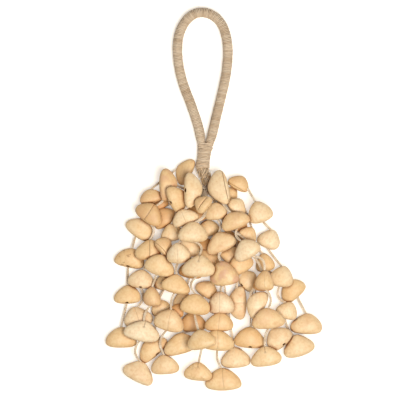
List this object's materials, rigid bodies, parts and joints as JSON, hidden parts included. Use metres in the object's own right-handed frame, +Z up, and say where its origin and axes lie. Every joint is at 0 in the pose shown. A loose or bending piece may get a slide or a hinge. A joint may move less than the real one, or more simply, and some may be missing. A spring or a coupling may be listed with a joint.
{
  "type": "seed shaker",
  "caption": "Hand shaker rattle: a twine-wound cord loop handle with many strings of hollow nut shells that clack together, lying flat in a fan.",
  "frame": {"origin": "on the surface that the shaker lies on, at the middle of its footprint", "axes": "+Y from the nuts to the handle loop, +X to the right seen from above, +Z up from the surface"},
  "size_m": [0.2002, 0.354, 0.0409],
  "materials": {
    "nut_shell": "smooth satin shell",
    "twine_winding": "tightly wound waxed twine",
    "core_cord": "matte cord",
    "string_bundle": "matte twisted string"
  },
  "bodies": {
    "root": {"loop_winding": "twine_winding", "stem_winding": "twine_winding", "handle_core": "core_cord", "string_twist": "string_bundle", "strand_01": "nut_shell", "strand_02": "nut_shell", "strand_03": "nut_shell", "strand_04": "nut_shell", "strand_05": "nut_shell", "strand_06": "nut_shell", "strand_07": "nut_shell", "strand_08": "nut_shell", "strand_09": "nut_shell", "strand_10": "nut_shell", "strand_11": "nut_shell", "strand_12": "nut_shell", "strand_13": "nut_shell", "strand_14": "nut_shell", "strand_15": "nut_shell", "strand_16": "nut_shell"}
  },
  "joints": []
}
